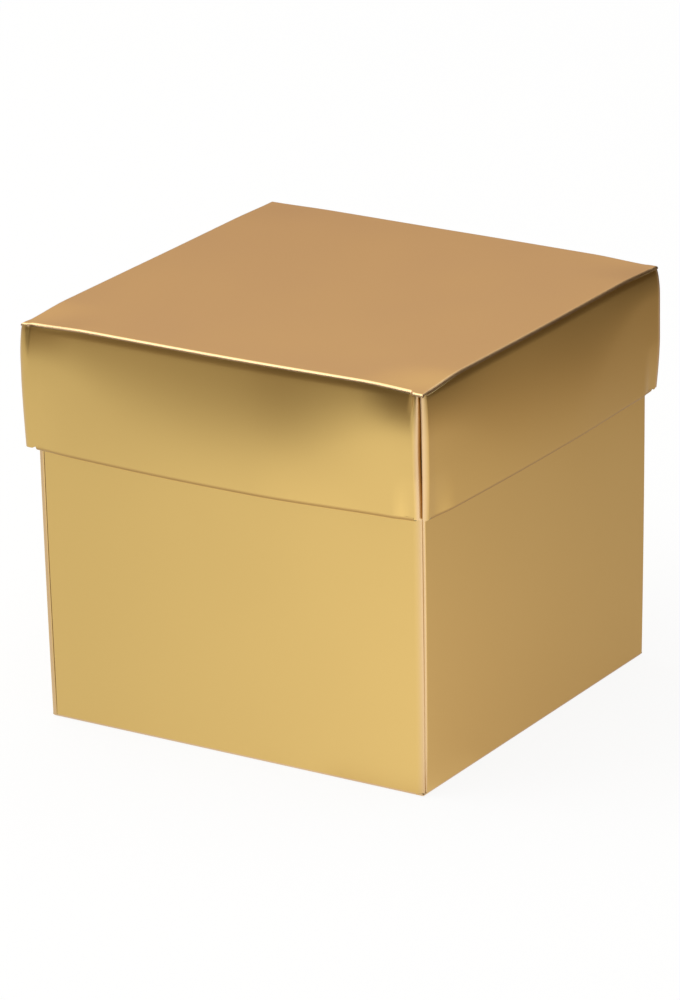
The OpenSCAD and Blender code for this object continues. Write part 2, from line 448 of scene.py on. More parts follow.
@dataclass
class Tray:
    """One sheet of card folded into a square tray, floor down and front wall towards -Y.

    Every corner keeps the sheet whole: the web between two walls is doubled on its diagonal and laid behind
    the wall on its left, and the flap rolled in over that wall's rim holds it there. A corner is known by the
    side of the wall that its web lies behind. The frame of a side starts in the middle of the floor's outer
    face: x runs to the right along the wall, y inward and z up.
    """

    PANEL: ClassVar[str] = "wall"
    FLOOR: ClassVar[str] = "floor"

    name: str
    body: str
    half: float
    depth: float
    bend_r: float
    flap_depth: float
    corners: dict[Side, Corner]
    bow_front: float = 0.0
    bow_side: float = 0.0
    bow_flat_share: float = 0.2  # share of the left half of a wall that the bow leaves straight
    crease_r: float = 0.4
    crease_rise_share: float = 0.85  # the walls lean out, so a crease stops short of upright
    set_in: float = 0.0  # how far in the middle of a wall stands at its crease
    foot_in: float = 0.0  # how far a wall's foot is drawn in under the bead of its crease
    foot_h: float = 0.9
    end_in: float = 1.0  # from the end of a wall's straight part to where its bow is over
    droop_w: float = 9.0  # width beside a corner over which the creases sink
    droop_flat_w: float = 1.0  # the part of it, next to the corner, where they lie lowest
    dent_h: float = 7.0
    dent_w: float = 7.0
    dent_past: float = 1.05  # from where the bow is over to the deepest place of a dent beside a fold
    dent_past_next: float = 0.45  # the same beside a bend
    dent_fall_w: float = 0.5  # from there to where the dent is over, on the corner's side
    curl_w: float = 4.0
    curl_w_next: float = 1.8
    curl_curve: float = 1.5  # power with which a curl sets in towards the rim
    nub_w: float = 1.9
    nub_flat_w: float = 0.9
    nub_h: float = 1.0
    sharp_share: float = 0.4  # radius of an upright bend where the creases cross, over its full one
    sharp_h: float = 6.0
    relief_w: float = 0.4  # from a wall's straight end to where its rim is rolled
    rim_step: float = 0.3  # how far the upright bends stop below the rolled rims
    rim_dip: float = 0.0  # how far the rims sink where they meet
    rim_dip_w: float = 8.0
    rim_dip_flat_w: float = 1.5
    rim_dip_h: float = 14.0
    flap_slant: float = 3.0  # how far each end of a flap slants in on its way down
    flap_round_r: float = 1.2
    flap_round_share: float = 0.1  # share of the flap's height that its round corners take
    card: Card = Card()

    @property
    def start_z(self) -> float:
        """Height at which a wall leaves its crease."""
        return self.crease_rise_share * self.crease_r

    @property
    def roll_z(self) -> float:
        """Height at which the rim starts to roll."""
        return self.depth - self.card.roll_r

    @property
    def bend_top(self) -> float:
        """Height of the upright bends."""
        return self.depth - self.rim_step

    @property
    def span(self) -> float:
        """Half length of a wall between its upright bends."""
        return self.half - 2 * self.card.pitch - self.bend_r

    @property
    def end(self) -> float:
        """Distance along a wall from its middle to where its bow is over."""
        return self.span - self.end_in

    @property
    def roll_half(self) -> float:
        """Half length of the rolled rim."""
        return self.span - self.relief_w

    @property
    def fine_w(self) -> float:
        """Width beside a wall's ends over which its mesh is finer."""
        return 3 * (self.half - self.roll_half)

    def beside(self, side: Side, turns: int) -> Side:
        """The side that many quarter turns to the right of a side, as the tray sees it from outside."""
        return Side((side.value + 90 * turns) % 360)

    def left_corner(self, side: Side) -> Corner:
        """The corner at a wall's left end."""
        return self.corners[self.beside(side, -1)]

    def rise(self, z: np.ndarray) -> np.ndarray:
        """Share of the way from the crease to the rim."""
        return np.clip((z - self.start_z) / (self.roll_z - self.start_z), 0, 1)

    def settled(self, z: np.ndarray, height: np.ndarray | float) -> np.ndarray:
        """Share of the pinch that a wall has lost at a height."""
        return settle((z - self.start_z) / height)

    def hollow(self, z: np.ndarray) -> np.ndarray:
        """How far the foot of a wall is drawn in under the bead of its crease."""
        return self.foot_in * (1 - self.settled(z, self.foot_h))

    def stuck_out(self, z: np.ndarray) -> np.ndarray:
        """Share of a corner's nub at a height: the tip of the crossing creases, which stays out."""
        return np.clip(1 - z / self.nub_h, 0, 1) ** 2

    def curled(self, corner: Corner, z: np.ndarray, next_wall: bool = False) -> np.ndarray:
        """How far a corner has curled in at a height, on its way to the rim."""
        most = corner.curl_next if next_wall else corner.curl
        return most * np.clip((z - self.bend_top) / corner.curl_h + 1, 0, 1) ** self.curl_curve

    def out(self, corner: Corner, z: np.ndarray, next_wall: bool = False) -> np.ndarray:
        """Half width of the tray beside a corner: pinched at the crease, and curled in a little at the rim.

        Args:
            corner: the corner.
            z: height.
            next_wall: for the wall that the web's bend leads to, and otherwise for the one it lies behind.

        Returns:
            The distance from the tray's middle.
        """
        most = corner.pinch_next if next_wall else corner.pinch
        inset = corner.inset_next if next_wall else 0.0
        drawn_in = most * (1 - self.settled(z, corner.settle_h)) + self.hollow(z) + inset
        return self.half - drawn_in - self.curled(corner, z, next_wall) + corner.nub * self.stuck_out(z)

    def sag(self, side: Side, x: np.ndarray, y: np.ndarray) -> np.ndarray:
        """How far the creases sink at the corners.

        Args:
            side: the side whose frame the place is in.
            x: place along the side.
            y: place across it, negative towards the side.

        Returns:
            The depth below the floor's outer face.
        """
        far_left, far_right = self.corners[self.beside(side, 2)], self.corners[self.beside(side, 1)]
        near = np.where(x < 0, self.left_corner(side).droop, self.corners[side].droop)
        far = np.where(x < 0, far_left.droop, far_right.droop)
        width = self.droop_w - self.droop_flat_w
        wide, deep = (smooth((np.abs(w) - self.half + self.droop_w) / width) for w in (x, y))
        return np.where(y < 0, near, far) * wide * deep

    def bend_radius(self, corner: Corner, z: np.ndarray) -> np.ndarray:
        """Outer radius of an upright bend: sharp where the creases cross, and full further up."""
        full = corner.bend * self.bend_r
        return full * (self.sharp_share + (1 - self.sharp_share) * settle(z / self.sharp_h))

    def fold(self, corner: Corner, z: np.ndarray) -> np.ndarray:
        """Outer radius of the upright fold, tight at its ends."""
        share = np.clip(z / self.bend_top, 0, 1)
        return corner.fold_end + (corner.fold_mid - corner.fold_end) * 4 * share * (1 - share)

    def bend_at(self, corner: Corner, z: np.ndarray) -> np.ndarray:
        """Depth behind a wall's face at which the upright bend starts, past the fold and its slit."""
        return 2 * self.fold(corner, z) + self.card.air + corner.slit * hump(z / self.bend_top)

    def wall_right(self, side: Side, z: np.ndarray) -> np.ndarray:
        """Right end of a wall, where its fold starts."""
        corner = self.corners[side]
        return self.out(corner, z, next_wall=True) - self.fold(corner, z) * corner.nose - corner.tuck

    def wall_left(self, side: Side, z: np.ndarray) -> np.ndarray:
        """Left end of a wall, where the bend of its neighbour's web ends."""
        corner = self.left_corner(side)
        return -self.out(corner, z) + self.bend_at(corner, z) + self.bend_radius(corner, z)

    def middle(self, x: np.ndarray) -> np.ndarray:
        """Falls from 1 in the middle of a wall to 0 where its bow is over."""
        return np.cos(math.pi / 2 * np.clip(x / self.end, -1, 1))

    def pinched(self, side: Side, x: np.ndarray, z: np.ndarray) -> np.ndarray:
        """How far a wall is drawn in by its crease and its corners.

        Args:
            side: the wall's side.
            x: place along the wall.
            z: height.

        Returns:
            The distance, in the wall's frame.
        """
        left, right = self.left_corner(side), self.corners[side]
        inner = self.middle(x) ** 2
        most = self.set_in * inner + np.where(x < 0, left.pinch_next, right.pinch) * (1 - inner)
        height = self.roll_z * inner + np.where(x < 0, left.settle_h, right.settle_h) * (1 - inner)
        inset = np.where(x < 0, left.inset_next, 0.0) * (1 - inner)
        return most * (1 - self.settled(z, height)) + self.hollow(z) + inset

    def dented(self, side: Side, x: np.ndarray, z: np.ndarray) -> np.ndarray:
        """How far a wall is dented beside its corners, where their thick folds hold the crease.

        Args:
            side: the wall's side.
            x: place along the wall.
            z: height.

        Returns:
            The distance, in the wall's frame.
        """
        most = np.where(x < 0, self.left_corner(side).dent_next, self.corners[side].dent)
        past = np.abs(x) - self.end - np.where(x < 0, self.dent_past_next, self.dent_past)
        beside = smooth(past / self.dent_w + 1) * (1 - smooth(past / self.dent_fall_w))
        return most * beside * (1 - self.settled(z, self.dent_h))

    def curled_in(self, side: Side, x: np.ndarray, z: np.ndarray) -> np.ndarray:
        """How far a wall curls in beside its corners, near its rim.

        Args:
            side: the wall's side.
            x: place along the wall.
            z: height.

        Returns:
            The distance, in the wall's frame.
        """
        width = np.where(x < 0, self.curl_w_next, self.curl_w)
        most = np.where(
            x < 0, self.curled(self.left_corner(side), z, next_wall=True), self.curled(self.corners[side], z))
        return most * smooth((np.abs(x) - self.end) / width + 1)

    def nubbed(self, side: Side, x: np.ndarray, z: np.ndarray) -> np.ndarray:
        """How far a wall's ends stick out with the tips of the crossing creases.

        Args:
            side: the wall's side.
            x: place along the wall.
            z: height.

        Returns:
            The distance, in the wall's frame.
        """
        most = np.where(x < 0, self.left_corner(side).nub, self.corners[side].nub)
        tip = smooth((np.abs(x) - self.half + self.nub_w) / (self.nub_w - self.nub_flat_w))
        return most * tip * self.stuck_out(z)

    def bowed(self, side: Side, x: np.ndarray, z: np.ndarray) -> np.ndarray:
        """How far a wall bows out, fuller on the left half than on the right one.

        Args:
            side: the wall's side.
            x: place along the wall.
            z: height.

        Returns:
            The distance, in the wall's frame.
        """
        most = self.bow_front if side.front_or_back else self.bow_side
        flat = self.bow_flat_share * self.end
        full = 1 - smooth((np.abs(x) - flat) / (self.end - flat))
        return most * np.where(x < 0, full, self.middle(x)) * np.sin(math.pi / 2 * self.rise(z))

    def face(self, side: Side, x: np.ndarray, z: np.ndarray) -> np.ndarray:
        """How far a wall's outer face stands out from the tray's middle.

        Args:
            side: the wall's side.
            x: place along the wall.
            z: height.

        Returns:
            The distance, in the wall's frame.
        """
        drawn_in = self.pinched(side, x, z) + self.dented(side, x, z) + self.curled_in(side, x, z)
        return self.half - drawn_in + self.nubbed(side, x, z) + self.bowed(side, x, z)

    def top_edge(self, x: np.ndarray) -> np.ndarray:
        """Height of a wall's top edge: the rim's, or that of the upright bends beside it."""
        share = np.clip((np.abs(x) - self.roll_half) / self.relief_w, 0, 1)
        return self.roll_z + (self.bend_top - self.roll_z) * share

    def press_down(self, sheet: Sheet) -> None:
        """Sinks a sheet a little where the rims meet at the corners, under the creases of the lid.

        Args:
            sheet: a sheet in the frame of its side.
        """
        width = self.rim_dip_w - self.rim_dip_flat_w
        for face in (sheet.outer, sheet.inner):
            wide, deep = (smooth((np.abs(face[..., k]) - self.half + self.rim_dip_w) / width) for k in (0, 1))
            high = np.clip((face[..., 2] - self.depth + self.rim_dip_h) / self.rim_dip_h, 0, 1)
            face[..., 2] -= self.rim_dip * high * wide * deep

    def wall_sheet(self, side: Side, name: str) -> Sheet:
        """The wall between its crease, its upright bends and its rim.

        Args:
            side: the wall's side.
            name: name of the piece.

        Returns:
            The wall as a sheet in its own frame.
        """
        def surface(u: np.ndarray, v: np.ndarray) -> np.ndarray:
            """The wall's foil side.

            Args:
                u: share of the way from its left end to its right one.
                v: share of the way up.

            Returns:
                Points in the wall's frame.
            """
            top = np.full_like(u, self.bend_top)
            start = self.wall_left(side, top)
            guess = start + (self.wall_right(side, top) - start) * u
            low = self.start_z + self.sag(side, guess, -self.half)
            z = low + (self.top_edge(guess) - low) * v
            left = self.wall_left(side, z)
            x = left + (self.wall_right(side, z) - left) * u
            return points(x, -self.face(side, x, z), z)

        width = 2 * self.half
        relief = self.relief_w / width
        corner = self.fine_w / width
        along = np.unique(np.concatenate([
            spread(0, relief, RELIEF_STEPS), spread(relief, corner, END_STEPS // 2),
            spread(corner, 1 - corner, MIDDLE_STEPS), spread(1 - corner, 1, END_STEPS)]).round(9))
        return Sheet(name, [Strip(surface, along)], spread(0, 1, UP_STEPS, ease=True), self.card.thickness)

    def flap_sheet(self, side: Side, name: str) -> Sheet:
        """The rim rolled over inward and the flap that hangs from it.

        Args:
            side: the flap's side.
            name: name of the piece.

        Returns:
            The flap as a sheet in its wall's frame.
        """
        radius = self.card.roll_r
        drop = self.flap_depth - radius

        def roll(u: np.ndarray, v: np.ndarray) -> np.ndarray:
            """The rolled rim.

            Args:
                u: share of the way over, from outside to inside.
                v: share of the way from its right end to its left one.

            Returns:
                Points in the wall's frame.
            """
            x = (1 - 2 * v) * self.roll_half
            z = self.roll_z + radius * np.sin(math.pi * u)
            y = radius * (1 - np.cos(math.pi * u)) - self.face(side, x, np.minimum(z, self.roll_z))
            return points(x, y, z)

        def hang(u: np.ndarray, v: np.ndarray) -> np.ndarray:
            """The hanging flap, which narrows to its rounded lower edge.

            Args:
                u: share of the way down.
                v: share of the way from its right end to its left one.

            Returns:
                Points in the wall's frame.
            """
            corner = np.clip((u - 1) / self.flap_round_share + 1, 0, 1)
            rounded = self.flap_round_r * (1 - np.sqrt(1 - corner ** 2))
            x = (1 - 2 * v) * (self.roll_half - self.flap_slant * u - rounded)
            z = self.roll_z - drop * u
            return points(x, self.card.stack - self.face(side, x, z), z)

        straight = 1 - self.flap_round_share
        round_end = straight + self.flap_round_share * np.sin(spread(0, math.pi / 2, FLAP_END_STEPS))[1:]
        hanging = np.concatenate([spread(0, straight, HANG_STEPS), round_end])
        # the rolled rim is painted darker, as painted shade
        strips = [Strip(roll, spread(0, 1, ROUND_STEPS), rim_shaded=True), Strip(hang, hanging)]
        return Sheet(name, strips, spread(0, 1, RIM_STEPS), self.card.thickness)

    def place(self, side: Side) -> Matrix:
        """From the frame of one of the tray's sides to the box's."""
        return Matrix.Rotation(math.radians(side.value), 4, "Z")

    def web_name(self, side: Side) -> str:
        """Name of the node of a wall's web, by the two sides that meet at its corner.

        Args:
            side: the wall's side.

        Returns:
            The name, with the front or the back before the left or the right.
        """
        first, second = side, self.beside(side, 1)
        if not side.front_or_back:
            first, second = second, first
        return f"{self.name}_{first.word}_{second.word}_web"

    def build(self, finishes: Sequence[bpy.types.Material]) -> list[bpy.types.Object]:
        """Makes every panel of the tray in the place of its CAD node.

        Args:
            finishes: the foil, the white back and the cut edge.

        Returns:
            The pieces.
        """
        sheets = [(FloorPanel(self).sheet(f"{self.name}_{self.FLOOR}"), Side.FRONT)]
        for side in Side:
            sheets.append((self.wall_sheet(side, f"{self.name}_{side.word}_{self.PANEL}"), side))
            sheets.append((self.flap_sheet(side, f"{self.name}_{side.word}_flap"), side))
            sheets.append((Web(self, side).sheet(self.web_name(side)), side))
        pieces = []
        for sheet, side in sheets:
            node = sheet.name
            sheet.name = f"{node}_card"
            self.press_down(sheet)
            piece = sheet.build(self.place(side), finishes)
            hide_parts(node)
            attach(piece, self.body)
            log.info("%s rides on %s", piece.name, self.body)
            pieces.append(piece)
        return pieces


@dataclass
class Lid(Tray):
    """The second tray, turned over, so that its webs stand at the other end of each skirt."""

    PANEL: ClassVar[str] = "skirt"
    FLOOR: ClassVar[str] = "top"

    top_z: float = 48.4

    def beside(self, side: Side, turns: int) -> Side:
        """The side that many quarter turns to the right of a side, with the tray turned over."""
        return Side((side.value - 90 * turns) % 360)

    def place(self, side: Side) -> Matrix:
        """From the frame of one of the tray's sides to the box's."""
        over = Matrix.Translation((0, 0, self.top_z)) @ Matrix.Rotation(math.pi, 4, "X")
        return over @ Matrix.Rotation(math.radians(Side.BACK.value - side.value), 4, "Z")


@dataclass(frozen=True)
class Web:
    """A corner: the fold onto a wall's back, the web doubled on its diagonal and the bend to the next wall.

    Each of its surfaces takes u along the sheet, from the wall round to the next one, and v from the crease
    up to the rim, both from 0 to 1, and gives points in the frame of the wall that the web lies behind.
    """

    tray: Tray
    side: Side
    start_share: float = 0.5  # height at which the web leaves the crease, over the crease's radius
    diagonal_in: float = 0.2  # from the start of the upright bend to the foot of the diagonal
    tip_w: float = 1.0  # width of the clipped tip
    rim_shares: tuple[float, float] = (0.06, 0.96)  # where the top edge meets the rim, and its clipped tip
    blend_w: float = 3.5  # width beside the corner over which the layers open from flat to the fold's radius

    @property
    def corner(self) -> Corner:
        """How the corner stands."""
        return self.tray.corners[self.side]

    @property
    def foot(self) -> float:
        """Height at which the diagonal starts, above the doubled crease."""
        return self.tray.crease_r + 2 * self.tray.card.fold_r

    @property
    def tip_z(self) -> float:
        """Height at which the diagonal ends, at the clipped tip."""
        return self.tray.roll_z - self.tip_w

    @property
    def right(self) -> float:
        """Place along the wall of the start of an upright bend at its full radius."""
        return self.tray.half - self.tray.bend_r

    @property
    def tip_x(self) -> float:
        """Place of the clipped tip along the wall."""
        return self.right - self.diagonal_in - self.tip_z + self.foot

    def height(self, v: np.ndarray) -> np.ndarray:
        """Height of a share of the way up."""
        low = self.tray.crease_r * self.start_share + self.corner.droop
        return low + (self.tray.bend_top - low) * v

    def start_of_bend(self, z: np.ndarray) -> np.ndarray:
        """Place along the wall at which the web leaves it for the bend."""
        return self.tray.out(self.corner, z, next_wall=True) - self.tray.bend_radius(self.corner, z)

    def diagonal(self, v: np.ndarray) -> tuple[np.ndarray, np.ndarray]:
        """Place along the wall and height of the diagonal fold, at a share of the way up."""
        z = self.foot + (self.tip_z - self.foot) * v
        return self.right - self.diagonal_in - (z - self.foot), z

    def layer(self, u: np.ndarray, v: np.ndarray, start: np.ndarray) -> tuple[np.ndarray, np.ndarray]:
        """The triangle of one layer, between its upright end, the diagonal and the rim.

        Args:
            u: share of the way from its upright end to the diagonal.
            v: share of the way up.
            start: place of its upright end along the wall.

        Returns:
            The place along the wall, and the height.
        """
        tray, right, tip_x, tip_z = self.tray, self.right, self.tip_x, self.tip_z
        end_x, end_z = self.diagonal(v)
        shares = [0, *self.rim_shares, 1]
        top_x = np.interp(u, shares, [right, tray.roll_half, tip_x, tip_x])
        top_z = np.interp(u, shares, [tray.bend_top, tray.roll_z, tray.roll_z, tip_z])
        line_x = right + (tip_x - right) * u
        line_z = tray.bend_top + (tip_z - tray.bend_top) * u
        x = start + (end_x - start) * u + v * (top_x - line_x)
        return x, self.height(v) + (end_z - self.height(v)) * u + v * (top_z - line_z)

    def near(self, x: np.ndarray) -> np.ndarray:
        """Rises from 0 along the wall to 1 at the corner."""
        return smooth((x - self.right) / self.blend_w + 1)

    def fold(self, u: np.ndarray, v: np.ndarray) -> np.ndarray:
        """The upright fold from the wall's face onto its back.

        Args:
            u: share of the way round.
            v: share of the way up.

        Returns:
            Points in the wall's frame.
        """
        z = self.height(v)
        r = self.tray.fold(self.corner, z)
        round_off = np.sin(math.pi * u) * (1 - self.corner.facet + self.corner.facet * np.sin(math.pi * u))
        x = self.tray.wall_right(self.side, z) + r * self.corner.nose * round_off
        return points(x, r * (1 - np.cos(math.pi * u)) - self.tray.out(self.corner, z), z)

    def front_layer(self, u: np.ndarray, v: np.ndarray) -> np.ndarray:
        """The layer next to the wall.

        Args:
            u: share of the way to the diagonal.
            v: share of the way up.

        Returns:
            Points in the wall's frame.
        """
        tray = self.tray
        x, z = self.layer(u, v, tray.wall_right(self.side, self.height(v)))
        flat = tray.card.fold_r
        behind = 2 * (flat + (tray.fold(self.corner, z) - flat) * self.near(x))
        return points(x, behind - tray.face(self.side, x, z), z)

    def turn(self, u: np.ndarray, v: np.ndarray) -> np.ndarray:
        """The fold along the diagonal, between the two layers.

        Args:
            u: share of the way round.
            v: share of the way up.

        Returns:
            Points in the wall's frame.
        """
        tray = self.tray
        x, z = self.diagonal(v)
        inner_r = tray.card.air / 2
        reach = inner_r * math.sqrt(2) * np.sin(math.pi * u)
        y = tray.card.pitch + tray.card.fold_r - inner_r * np.cos(math.pi * u) - tray.face(self.side, x, z)
        return points(x - reach / 2, y, z - reach / 2)

    def back_layer(self, u: np.ndarray, v: np.ndarray) -> np.ndarray:
        """The layer that lies behind the first one.

        Args:
            u: share of the way from the diagonal.
            v: share of the way up.

        Returns:
            Points in the wall's frame.
        """
        tray = self.tray
        x, z = self.layer(1 - u, v, self.start_of_bend(self.height(v)))
        flat = 2 * tray.card.pitch
        behind = flat + (tray.bend_at(self.corner, z) - flat) * self.near(x)
        return points(x, behind - tray.face(self.side, x, z), z)

    def bend(self, u: np.ndarray, v: np.ndarray) -> np.ndarray:
        """The upright bend to the next wall.

        Args:
            u: share of the way round.
            v: share of the way up.

        Returns:
            Points in the wall's frame.
        """
        z = self.height(v)
        r = self.tray.bend_radius(self.corner, z)
        turned = math.pi / 2 * u
        y = self.tray.bend_at(self.corner, z) + r * (1 - np.cos(turned)) - self.tray.out(self.corner, z)
        return points(self.start_of_bend(z) + r * np.sin(turned), y, z)

    def sheet(self, name: str) -> Sheet:
        """Sweeps the whole corner.

        Args:
            name: name of the piece.

        Returns:
            The web as a sheet in the frame of its wall.
        """
        strips = [
            Strip(self.fold, spread(0, 1, ROUND_STEPS), bent=True),
            Strip(self.front_layer, spread(0, 1, LAYER_STEPS)),
            Strip(self.turn, spread(0, 1, TURN_STEPS)),
            Strip(self.back_layer, spread(0, 1, LAYER_STEPS)),
            Strip(self.bend, spread(0, 1, ROUND_STEPS), bent=True),
        ]
        return Sheet(name, strips, spread(0, 1, UP_STEPS, ease=True), self.tray.card.thickness)


@dataclass(frozen=True)
class FloorPanel:
    """The square floor of a tray, with its four creases round it and their mitred corners.

    Its surface takes u from front to back and v from left to right, each from -1 to 1 over the flat floor and
    on for the width of a crease's lip.
    """

    tray: Tray
    lip: float = 0.04  # width of a crease's lip, over the floor's half width
    past: float = 1.1  # how far a lip may be followed beyond its end, over its width
    corner_share: float = 0.94  # the mesh is finer from here out, over the floor's half width
    middle_share: float = 0.6  # and coarser from here in
    middle_steps: int = 16
    side_steps: int = 12
    corner_steps: int = 5
    lip_steps: int = 8

    @property
    def turned(self) -> float:
        """Angle through which a crease turns."""
        return math.acos(1 - self.tray.start_z / self.tray.crease_r)

    @property
    def lines(self) -> np.ndarray:
        """Samples across the floor: fine on the lips and beside them, and coarser in the middle.

        Returns:
            Places from -1 - lip to 1 + lip.
        """
        corner, middle = self.corner_share, self.middle_share
        half = np.concatenate([
            spread(middle, corner, self.side_steps)[:-1], spread(corner, 1, self.corner_steps),
            spread(1, 1 + self.lip, self.lip_steps)[1:]])
        return np.concatenate([-half[::-1], spread(-middle, middle, self.middle_steps)[1:-1], half])

    def angle(self, w: np.ndarray) -> np.ndarray:
        """Angle through which the card has turned at a place across the floor."""
        return self.turned * np.clip((np.abs(w) - 1) / self.lip, 0, self.past)

    def reach(self, w: np.ndarray, along: np.ndarray, ahead: Side, behind: Side) -> np.ndarray:
        """Distance from the floor's middle, which follows the walls.

        Args:
            w: place across the floor, from -1 to 1 over its flat part.
            along: place along the walls that it faces, in the same way.
            ahead: side that it faces where w is positive.
            behind: side that it faces where w is negative.

        Returns:
            The distance, negative on the side behind.
        """
        tray = self.tray
        r = tray.crease_r
        z = r * (1 - np.cos(self.angle(w)))
        place = np.clip(along, -1, 1) * (tray.half - r)
        sides = np.where(w > 0, tray.face(ahead, place, z), tray.face(behind, -place, z))
        flat = (sides - r * math.sin(self.turned)) * np.clip(np.abs(w), 0, 1)
        return np.sign(w) * (flat + r * np.sin(self.angle(w)))

    def surface(self, u: np.ndarray, v: np.ndarray) -> np.ndarray:
        """The floor's foil side.

        Args:
            u: place from front to back.
            v: place from left to right.

        Returns:
            Points in the front wall's frame.
        """
        tray = self.tray
        x = self.reach(v, u, tray.beside(Side.FRONT, 1), tray.beside(Side.FRONT, 3))
        y = -self.reach(-u, v, Side.FRONT, Side.BACK)
        z = tray.crease_r * (1 - np.cos(np.maximum(self.angle(u), self.angle(v))))
        return points(x, y, z + tray.sag(Side.FRONT, x, y))

    def sheet(self, name: str) -> Sheet:
        """Sweeps the floor, with its lips marked as creases are: painted paler as a painted highlight, and
        rougher.

        Args:
            name: name of the piece.

        Returns:
            The floor as a sheet in the front wall's frame.
        """
        sheet = Sheet(name, [Strip(self.surface, self.lines)], self.lines, self.tray.card.thickness)
        beyond = np.maximum.outer(np.abs(self.lines), np.abs(self.lines)) - 1
        sheet.worn["crease"] = np.clip(2 * beyond / self.lip, 0, 1)
        return sheet


@dataclass(frozen=True)
class Gradient:
    """Brightness that changes evenly towards the picture's right, between two limits."""

    middle: float
    least: float
    most: float
    per_mm: float = 0.0058

    def at(self, across: float) -> float:
        """Brightness at a distance to the right of the box's middle."""
        return min(self.most, max(self.least, self.middle + self.per_mm * across))


@dataclass(frozen=True)
class Fade:
    """Light that is lost between two distances from the box."""

    loss: float
    start: float
    end: float

    def at(self, distance: float) -> float:
        """What is left of the light at a distance, from 1 down."""
        return 1 - self.loss * ramp(distance, self.start, self.end)


@dataclass(frozen=True)
class PaperSweep:
    """The white paper that the box stands on. The camera sees it white; to the foil it glows with a painted
    reflection, paler in front than behind.

    Azimuths are taken round the front corner, from the front towards the right, in degrees.
    """

    size: float = 3000.0
    fine_size: float = 800.0  # the paper is meshed finely over this size, where its light changes
    middle_size: float = 1400.0
    fine_steps: int = 80
    below: float = 0.02  # gap under the box
    paper: str = "#f4f3f0"
    glow_share: float = 0.88  # how much of its white is its own light, so that its shadows stay faint
    rightwards: tuple[float, float] = (0.85, -0.53)  # direction of the picture's right
    corner: tuple[float, float] = (25.0, -25.0)
    right_turn: tuple[float, float] = (112.0, 142.0)  # azimuths where the front's light turns to the back's
    left_turn: tuple[float, float] = (95.0, 160.0)
    front: Gradient = Gradient(middle=0.92, least=0.88, most=1.38)
    front_fade: Fade = Fade(loss=0.15, start=110, end=265)
    back: Gradient = Gradient(middle=0.47, least=0.53, most=0.7)
    back_fade: Fade = Fade(loss=0.85, start=105, end=220)
    back_gain: float = 0.1  # gain in brightness close behind the box
    back_gain_fade: Fade = Fade(loss=1, start=35, end=100)
    back_tint: tuple[float, float] = (0.13, 0.22)  # how much green and blue the back's light lacks
    dusk_fade: Fade = Fade(loss=1, start=105, end=190)
    dusk_tint: tuple[float, float] = (0.24, 0.5)  # and how much more of them where it is dark

    def sheen(self, x: float, y: float) -> Colour:
        """Linear colour that a place on the paper glows with in the foil's reflections: a painted reflection.

        Args:
            x: place, in millimetres.
            y: place, in millimetres.

        Returns:
            Red, green, blue and 1.
        """
        azimuth = math.degrees(math.atan2(x - self.corner[0], self.corner[1] - y))
        behind = ramp(azimuth, *self.right_turn) if azimuth > 0 else ramp(-azimuth, *self.left_turn)
        across = self.rightwards[0] * x + self.rightwards[1] * y
        far = math.hypot(x, y)
        gain = 1 + self.back_gain * self.back_gain_fade.at(far)
        front = self.front.at(across) * self.front_fade.at(far)
        back = self.back.at(across) * self.back_fade.at(far) * gain
        level = front * (1 - behind) + back * behind
        dusk = behind * (1 - self.dusk_fade.at(far))
        green, blue = (1 - b * behind - d * dusk for b, d in zip(self.back_tint, self.dusk_tint))
        return level, level * green, level * blue, 1.0

    def build(self) -> None:
        """Lays the paper, which shows white and keeps a faint shadow."""
        edge, middle, fine = self.size / 2, self.middle_size / 2, self.fine_size / 2
        lines = [-edge, -middle, *spread(-fine, fine, self.fine_steps), middle, edge]
        count = len(lines)
        verts = [(x * MM, y * MM, -self.below * MM) for y in lines for x in lines]
        quads = [(j * count + i, j * count + i + 1, (j + 1) * count + i + 1, (j + 1) * count + i)
                 for j in range(count - 1) for i in range(count - 1)]
        mesh = bpy.data.meshes.new("floor")
        mesh.from_pydata(verts, [], quads)
        sheen = mesh.attributes.new("sheen", "FLOAT_COLOR", "POINT")
        sheen.data.foreach_set("color", np.array([self.sheen(x, y) for y in lines for x in lines]).ravel())
        mesh.materials.append(self.material())
        floor = bpy.data.objects.new("floor", mesh)
        bpy.context.scene.collection.objects.link(floor)

    def material(self) -> bpy.types.Material:
        """Builds the paper's material: white to the eye, and in the foil the sheen's colour, which the paper
        glows with as a painted reflection.

        Returns:
            The material.
        """
        material, tree, output = new_material("white paper sweep")
        path = add_node(tree, "ShaderNodeLightPath")
        mirrored = add_node(
            tree, "ShaderNodeMath", {"operation": "MAXIMUM"},
            in0=path.outputs["Is Glossy Ray"], in1=path.outputs["Is Transmission Ray"])
        seen = add_node(
            tree, "ShaderNodeMath", {"operation": "MAXIMUM"},
            in0=path.outputs["Is Camera Ray"], in1=mirrored.outputs[0])
        share = add_node(
            tree, "ShaderNodeMath", {"operation": "MULTIPLY", 1: self.glow_share}, in0=seen.outputs[0])
        lit = add_node(tree, "ShaderNodeAttribute", {"attribute_name": "sheen"})
        colour = add_node(
            tree, "ShaderNodeMix", {"data_type": "RGBA", 6: linear("#ffffff")},
            Factor=mirrored.outputs[0], in7=lit.outputs["Color"])
        paper = add_node(tree, "ShaderNodeBsdfDiffuse", {"Color": linear(self.paper)})
        glow = add_node(tree, "ShaderNodeEmission", {}, Color=colour.outputs[2])
        both = add_node(
            tree, "ShaderNodeMixShader", {}, in0=share.outputs[0], in1=paper.outputs[0], in2=glow.outputs[0])
        tree.links.new(both.outputs[0], output.inputs[0])
        return material


